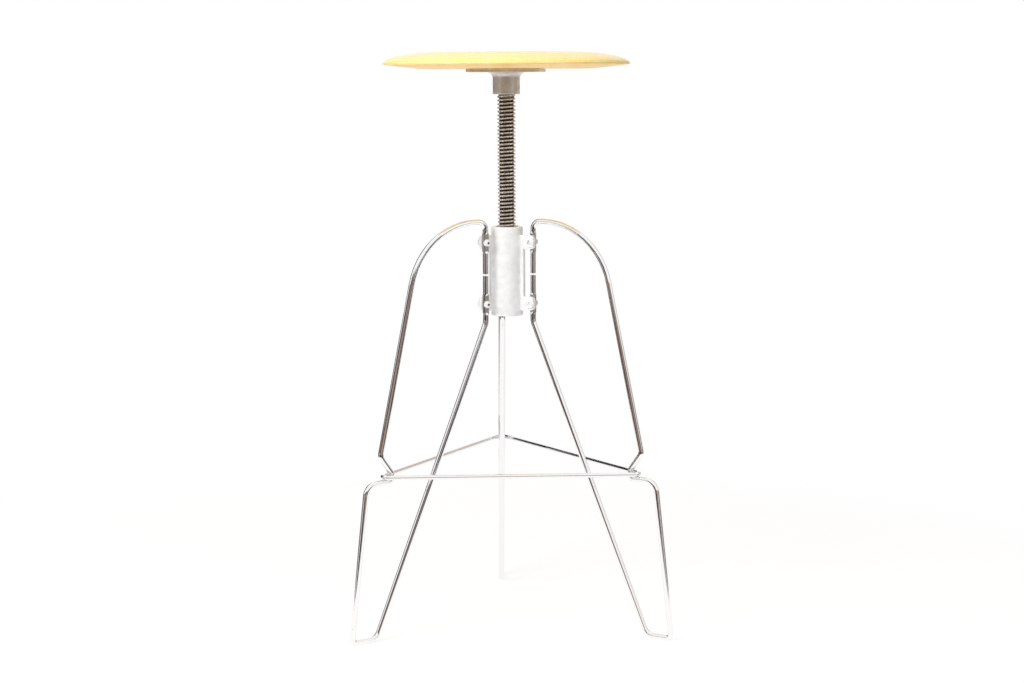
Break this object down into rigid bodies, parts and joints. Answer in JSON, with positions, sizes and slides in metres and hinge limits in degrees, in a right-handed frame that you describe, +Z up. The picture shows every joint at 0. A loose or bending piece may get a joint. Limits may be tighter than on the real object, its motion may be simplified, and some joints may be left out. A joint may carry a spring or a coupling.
{
  "type": "bar stool",
  "caption": "Bar stool with a turned plywood seat on a lead screw, a cast hub, bent chromed rod legs and a triangular rod footrest. The seat is turned to raise or lower it.",
  "frame": {"origin": "on the lead screw's axis, at floor level", "axes": "+Z up along the lead screw; +Y towards the rear leg; +X to the right as seen from the front"},
  "size_m": [0.4422, 0.4246, 0.8005],
  "materials": {
    "plywood": "gloss lacquer",
    "casting": "satin as cast",
    "chrome": "bright",
    "screw_steel": "turned, darkened by oil",
    "bronze": "machined",
    "zinc": "zinc plated"
  },
  "bodies": {
    "base": {"hub": "casting", "nut_bush": "bronze", "leg_rear": "chrome", "leg_left": "chrome", "leg_right": "chrome", "footrest_ring": "chrome", "clamp_screw_rear_upper": "zinc", "clamp_screw_left_upper": "zinc", "clamp_screw_right_upper": "zinc", "clamp_screw_rear_lower": "zinc", "clamp_screw_left_lower": "zinc", "clamp_screw_right_lower": "zinc", "set_screw_rear_upper": "zinc", "set_screw_left_upper": "zinc", "set_screw_right_upper": "zinc", "set_screw_rear_lower": "zinc", "set_screw_left_lower": "zinc", "set_screw_right_lower": "zinc"},
    "lift": {"stop_washer": "zinc"},
    "turning_seat": {"seat": "plywood", "seat_flange": "casting", "flange_screw_1": "zinc", "flange_screw_2": "zinc", "flange_screw_3": "zinc", "flange_screw_4": "zinc", "boss_set_screw": "zinc", "lift_screw": "screw_steel", "stop_screw": "zinc"}
  },
  "joints": [
    {"name": "seat_lift", "type": "slide", "parent": "base", "child": "lift", "axis": [0, 0, 1], "range_m": [-0.18, 0.05]},
    {"name": "seat_spin", "type": "hinge", "parent": "lift", "child": "turning_seat", "pos_m": [0, 0, 0.7], "axis": [0, 0, 1], "range_deg": [-12755, 3543]}
  ],
  "couplings": [
    {"joint": "seat_lift", "follows": "seat_spin", "m_per_rad": 0.00080851}
  ]
}
